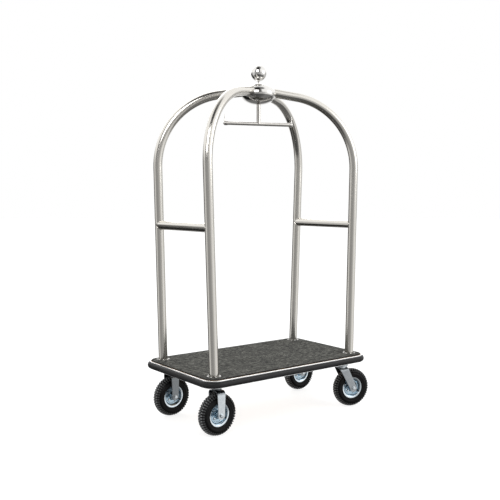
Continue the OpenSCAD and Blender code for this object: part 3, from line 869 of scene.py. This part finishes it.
def make_swivel(corner, end, flat, place):
    """Swivel caster above its wheel: plate and race, ball race, fork with its boss, and the kingpin's nut."""
    top = PLATE_BOTTOM
    race = [(0.007, top - 0.0138), (0.0348, top - 0.0138), (0.0360, top - 0.0126), (0.0360, top - 0.0050),
            (0.0372, top - 0.0022), (0.0400, top), (0.0001, top)]
    # painted shade on the plate, in shade under the deck
    plate = joined("swivel_top_plate_" + end, [top_plate(0.4, flat), lathe("race", race, 72, flat)])
    done(plate, "zinc_steel", "root", "swivel_plate_" + end)
    low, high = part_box("swivel_bearing_" + end)[0].z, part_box("swivel_bearing_" + end)[1].z
    shield = [(0.022, low), (0.0385, low), (0.0398, low + 0.0008), (0.0400, low + 0.002),
              (0.0400, high - 0.0028), (0.0392, high - 0.0008), (0.0380, high), (0.022, high)]
    body = "swivel_" + end
    bearing = lathe("ball_race_" + end, shield, 72, flat, closed=True)
    done(bearing, "zinc_steel", body, "swivel_bearing_" + end)
    # painted shade on the fork's legs and bend, in shade under the deck
    sheet = fork_sheet(TRAIL["right"], (-0.029, 0.024), (-0.116, -0.094), (FORK_PAINTED_SHADE[corner], 0.5), place)
    base = CROWN_TOP
    boss = [(0.0001, base - FORK_T), (0.0300, base - FORK_T), (0.0308, base - 0.004), (0.0308, base + 0.0004),
            (0.0338, base + 0.0012), (0.0340, base + 0.0020), (0.0340, low + 0.0004), (0.0001, low + 0.0004)]
    yoke = joined("swivel_yoke_" + end, [sheet, lathe("boss", boss, 64, place)])
    done(yoke, "zinc_steel", body, "swivel_fork_" + end)
    under = flat @ Matrix.Translation((0, 0, CROWN_TOP - FORK_T - 0.0003)) @ Matrix.Rotation(pi, 4, "X")
    nut = hex_bolt(under, 0.018, 0.0065, 0.0012)
    nut.name = "kingpin_nut_" + end
    done(nut, "zinc_steel", "root", "kingpin_" + end)


def make_rigid(corner, end, flat, place):
    """Rigid caster above its wheel: plate, neck and fork in one."""
    base, top = CROWN_TOP, PLATE_BOTTOM
    # painted shade on the fork, heavy on the bend next to the deck
    sheet = fork_sheet(0.0, (-0.024, 0.024), (-0.098, -0.098), (FORK_PAINTED_SHADE[corner], 0.9), place)
    neck = [(0.0001, base - 0.002), (0.0240, base - 0.002), (0.0255, base + 0.0004), (0.0240, base + 0.0022),
            (0.0228, base + 0.0060), (0.0228, top - 0.0060), (0.0240, top - 0.0022), (0.0255, top),
            (0.0001, top)]
    # painted shade on the plate and the neck, in the dark gap under the deck
    parts = [top_plate(0.9, flat), sheet, lathe("neck", neck, 64, place, worn=lambda r: 0.9)]
    done(joined("rigid_yoke_" + end, parts), "zinc_steel", "root", "rigid_fork_" + end)


def make_casters():
    """The casters without their wheels, each with its axle bolt, and the bolts that hold their plates."""
    heads = []
    for corner, (sx, sy) in CORNERS.items():
        end, side = corner.split("_")
        flat = Matrix.Translation((sx * CASTER_X, sy * CASTER_Y, 0))
        make = make_swivel if side == "right" else make_rigid
        make(corner, end, flat, caster_frame(corner))
        near = wheel_frame(corner) @ Matrix.Translation((0, 0, -FORK_OUT)) @ Matrix.Rotation(pi, 4, "X")
        far = wheel_frame(corner) @ Matrix.Translation((0, 0, FORK_OUT))
        stud = [(0.0001, 0), (0.0055, 0), (0.0055, 0.0074), (0.0048, 0.0085), (0.0001, 0.0085)]
        parts = [hex_bolt(near, 0.017, 0.0062, 0.0014, 2 * FORK_OUT, 0.006),
                 hex_bolt(far, 0.017, 0.0074, 0.0014, 0.001, 0.006), lathe("stud", stud, 32, far)]
        body = "swivel_" + end if side == "right" else "root"
        done(joined("axle_bolt_" + corner, parts), "zinc_steel", body, "axle_" + corner)
    for sx, sy in CORNERS.values():
        for i, j in CORNERS.values():
            at = (sx * CASTER_X + i * BOLT_DX / 2, sy * CASTER_Y + j * BOLT_DY / 2, PLATE_BOTTOM)
            under = Matrix.Translation(at) @ Matrix.Rotation(pi, 4, "X")
            heads.append(hex_bolt(under, 0.0128, 0.0042, 0.0012, 0.004))
    done(joined("plate_bolt_heads", heads), "zinc_steel", "root", "caster_bolts")


# ---------- wheels ----------

def tyre_section():
    """Half section of the tyre, from the crown to its wall. Each point is its radius and width, its degrees
    from the crown, the row of lugs it is in and its share of their height."""
    points = []
    for row, (low, high) in enumerate(((0, 12), (16, 38), (42, 66)), 1):
        points += [(low + 0.01, row, 0.0), (low + 1.6, row, 1.0), ((low + high) / 2, row, 1.0),
                   (high - 1.6, row, 1.0), (high, row, 0.0)]
    points += [(d, 0, 0.0) for d in (69, 75, 82, 89, 94, 97, 104, 107)]
    deep = TYRE_R - WIDEST_R - 0.0001
    return [(WIDEST_R + deep * cos(radians(d)), TYRE_HALF_W * sin(radians(d)), d, row, lift)
            for d, row, lift in points]


def tread_height(row, far, phase):
    """Height of a lug at a place along one pitch. The two halves stand half a pitch apart, and so does the
    row next to the crown from the other rows of its half."""
    f = (phase + (0.5 if far == (row == 1) else 0.0)) % 1.0
    end, rise = 0.52, 0.06
    return min(1.0, max(0.0, min(f, end - f) / rise))


def make_tyre(corner):
    """Knobbly pneumatic tyre: staggered lugs on the crown, ribs on the walls, and a full wall that stands
    over the rim's flange."""
    half = tyre_section()
    ring = [(r, -w, d, row, lift) for r, w, d, row, lift in half[::-1]] + half[1:]
    bead = [(0.0660, 0.0291), (0.0625, 0.0289), (0.0608, 0.0280), (0.0600, 0.0262), (0.0617, 0.0198),
            (0.0590, 0.0190), (0.0530, 0.0177), (0.0512, 0.0162), (0.0511, 0.0130)]
    inner = bead + [(0.0720, 0.0150), (0.0960, 0.0), (0.0720, -0.0150)] + [(r, -w) for r, w in bead[::-1]]
    phases = [0.0, 0.02, 0.06, 0.26, 0.46, 0.5, 0.52, 0.56, 0.76, 0.96]
    vertices, flow = [], []
    for pitch in range(LUGS):
        for phase in phases:
            a = 2 * pi * (pitch + phase) / LUGS
            for r, w, d, row, lift in ring:
                low = LUG_DEPTH * (1.0 if d < 69 else max(0.0, 1 - (d - 69) / 20))
                high = low * lift * tread_height(row, w >= 0, phase)
                scale = 1 - (low - high) / math.hypot(r - WIDEST_R, w) if d < 90 else 1.0
                rib = 0.0007 / TYRE_HALF_W if 96 < d < 105 else 0.0
                rr = WIDEST_R + (r - WIDEST_R) * scale
                vertices.append(Vector((rr * cos(a), rr * sin(a), w * (scale + rib))))
                # third value: the lugs' lighter tops, partly rubbed grey and partly a painted highlight; less
                # on the outer row
                flow.append((a * TYRE_GIRTH, w, high / LUG_DEPTH * (0.35 if row == 3 else 1.0)))
            for r, w in inner:
                vertices.append(Vector((r * cos(a), r * sin(a), w)))
                flow.append((a * TYRE_GIRTH, w, 0.0))
    faces = grid_faces(LUGS * len(phases), len(ring) + len(inner), True, True)
    place = wheel_frame(corner)
    tyre = build("tyre_tread_" + corner, [place @ v for v in vertices], faces, flow, sharp=38)
    done(tyre, "tyre_rubber", "wheel_" + corner, "tyre_" + corner)


def rim_profile():
    """Half of the pressed rim, from the hub out over the dish and the well to the rolled flange, and back."""
    outer = [(0.0131, 0.0160), (0.0150, 0.0164), (0.0172, 0.0158), (0.0180, 0.0140), (0.0186, 0.0060),
             (0.0205, 0.0034), (0.0240, 0.0026), (0.0330, 0.0026), (0.0352, 0.0034), (0.0368, 0.0060),
             (0.0385, 0.0066), (0.0408, 0.0062), (0.0428, 0.0064), (0.0452, 0.0098), (0.0470, 0.0128),
             (0.0488, 0.0138), (0.0492, 0.0150), (0.0494, 0.0166)]
    flange = arc(0.0530, 0.0166, 0.0034, 180, 102, 5) + arc(0.0601, 0.0201, 0.0014, 102, -20, 5)
    back = [(0.0590, 0.0192), (0.0530, 0.0179), (0.0515, 0.0170), (0.0506, 0.0160), (0.0506, 0.0140),
            (0.0484, 0.0116), (0.0466, 0.0080), (0.0440, 0.0046), (0.0360, 0.0009), (0.0340, 0.0001),
            (0.0131, 0.0001)]
    return outer + flange + back


def make_wheel(corner):
    """Rim halves with their bolts and rivets, hub tube, valve and tyre."""
    place = wheel_frame(corner)
    body = "wheel_" + corner
    bolt_circle, rivet_circle = 0.0272, 0.0395
    rivet = [(0.0001, 0), (0.0030, 0), (0.0028, 0.0012), (0.0018, 0.0019), (0.0001, 0.0021)]
    for name, s in (("near", -1), ("far", 1)):
        half = place if s > 0 else place @ Matrix.Rotation(pi, 4, "X")
        # painted shade in the dish inside 50 mm; the flange ring stays bright
        parts = [lathe("rim", rim_profile()[::-1], 96, half, closed=True, worn=lambda r: float(r < 0.050))]
        for i in range(4):
            a = pi / 4 + pi / 2 * i
            at = half @ Matrix.Translation((bolt_circle * cos(a), bolt_circle * sin(a), 0.0026))
            parts.append(hex_bolt(at, 0.0100, 0.0040, 0.0010, 0.001, 0.002))
        for i in range(8):
            a = pi / 8 + pi / 4 * i
            at = half @ Matrix.Translation((rivet_circle * cos(a), rivet_circle * sin(a), 0.0058))
            parts.append(lathe("rivet", rivet, 20, at))
        done(joined(f"rim_{name}_shell_{corner}", parts), "rim_steel", body, f"rim_{name}_{corner}")
    sleeve = [(0.0062, -0.035), (0.0112, -0.035), (0.0118, -0.0345), (0.0118, -0.0300), (0.0130, -0.0292),
              (0.0130, 0.0292), (0.0118, 0.0300), (0.0118, 0.0345), (0.0112, 0.035), (0.0062, 0.035)]
    hub = lathe("wheel_sleeve_" + corner, sleeve, 48, place, closed=True)
    done(hub, "zinc_steel", body, "wheel_hub_" + corner)
    stem = place @ Matrix.Rotation(radians(28), 4, "Z") @ Matrix.Translation((0.0440, 0, -0.009))
    valve = [(0.0001, -0.004), (0.0042, -0.004), (0.0040, 0.0), (0.0030, 0.0035), (0.0027, 0.0090),
             (0.0031, 0.0094), (0.0031, 0.0150), (0.0026, 0.0158), (0.0001, 0.0158)]
    leaning = stem @ Matrix.Rotation(radians(200), 4, "Y")
    done(lathe("valve_stem_" + corner, valve, 24, leaning), "tyre_rubber", body)
    make_tyre(corner)


# ---------- studio ----------

def make_floor():
    """A round floor under the wheels."""
    bpy.ops.mesh.primitive_circle_add(vertices=96, radius=40, fill_type="NGON",
                                      location=(0, 0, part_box("tyre_front_left")[0].z - 0.0002))
    floor = bpy.context.object
    floor.name = "floor"
    floor.data.materials.append(pale_floor())
    floor.visible_glossy = False
    floor.visible_shadow = False


def make_room():
    """The camera sees plain white. The cart sees a room: light and dark round its walls, one band for low and
    one for high directions, a dim ceiling and a dim floor. Angles are in degrees from the camera's side."""
    world = bpy.data.worlds.new("studio")
    bpy.context.scene.world = world
    world.use_nodes = True
    tree = world.node_tree
    tree.nodes.clear()
    ahead = node(tree, "ShaderNodeTexCoord", {}, 0)

    def along(*axis):
        return node(tree, "ShaderNodeVectorMath", {0: ahead, 1: axis}, 1, operation="DOT_PRODUCT")

    fx, fy, tilt = sin(CAMERA_YAW), cos(CAMERA_YAW), radians(12)
    round_it = maths(tree, "ARCTAN2", along(fy, -fx, 0), along(-fx, -fy, 0))
    turn = maths(tree, "MULTIPLY_ADD", round_it, 0.5 / pi, 0.5)
    low = [(-180, 1.0), (-150, 1.0), (-141, 0.05), (-110, 0.05), (-102, 0.88), (-66, 0.88), (-54, 0.42),
           (-10, 0.42), (25, 0.60), (55, 1.1), (100, 1.1), (110, 0.70), (135, 0.70), (145, 1.0), (180, 1.0)]
    high = [(-180, 1.4), (-62, 1.4), (-50, 0.14), (16, 0.14), (28, 1.4), (180, 1.4)]
    bands = [ramp(tree, turn, [(0.5 + a / 360, v) for a, v in band]) for band in (low, high)]
    walls = mixed(tree, ramp(tree, along(0, 0, 1), [(0.07, 0.0), (0.28, 1.0)]), *bands)
    lifted = along(-fx * sin(tilt), -fy * sin(tilt), cos(tilt))
    roof = ramp(tree, lifted, [(0.0, 1.0), (0.88, 1.0), (0.93, 0.26), (1.0, 0.20)])
    ground = ramp(tree, along(0, 0, -1), [(0.0, 1.0), (0.30, 1.0), (0.46, 0.22), (1.0, 0.22)])
    seen = mixed(tree, 1.0, mixed(tree, 1.0, walls, roof, "MULTIPLY"), ground, "MULTIPLY")
    room = node(tree, "ShaderNodeBackground", {"Color": seen, "Strength": 1.0})
    plain = node(tree, "ShaderNodeBackground", {"Color": (1.0, 1.0, 1.0, 1), "Strength": 1.0})
    straight = node(tree, "ShaderNodeLightPath", {}, 0)
    both = node(tree, "ShaderNodeMixShader", {0: straight, 1: room, 2: plain})
    node(tree, "ShaderNodeOutputWorld", {"Surface": both})


def make_lamps():
    """Three soft lamps: key from the left, fill from the right and one behind."""
    for name, at, size, power in (("key", (-3.2, -2.2, 3.4), 2.4, 95), ("fill", (2.8, -3.4, 2.4), 2.4, 45),
                                  ("back", (1.5, 3.5, 3.2), 2.6, 50)):
        light = bpy.data.lights.new(name, "AREA")
        light.energy = power
        light.size = size
        lamp = bpy.data.objects.new(name, light)
        lamp.location = at
        lamp.rotation_euler = (Vector((0, 0, 0.5)) - Vector(at)).to_track_quat("-Z", "Y").to_euler()
        bpy.context.scene.collection.objects.link(lamp)
    bpy.context.scene.view_settings.view_transform = "Standard"


def make_camera():
    """The viewpoint, from the front and left of the cart."""
    data = bpy.data.cameras.new("camera")
    data.sensor_width = 36
    data.lens = 53.01
    seat = bpy.data.objects.new("camera", data)
    seat.location = (-2.490, -3.188, 0.871)
    seat.rotation_euler = (pi / 2 - CAMERA_PITCH, radians(-0.07), -CAMERA_YAW)
    bpy.context.scene.collection.objects.link(seat)
    bpy.context.scene.camera = seat


make_camera()
make_carpet()
make_edging()
make_posts()
make_crossbars()
make_flanges()
make_hub()
make_finial()
make_rail()
make_casters()
for place_name in CORNERS:
    make_wheel(place_name)
for node_name, slot_name in NODE_FINISH.items():
    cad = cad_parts[node_name]
    cad.data.materials.clear()
    cad.data.materials.append(FINISH[slot_name])
make_floor()
make_room()
make_lamps()
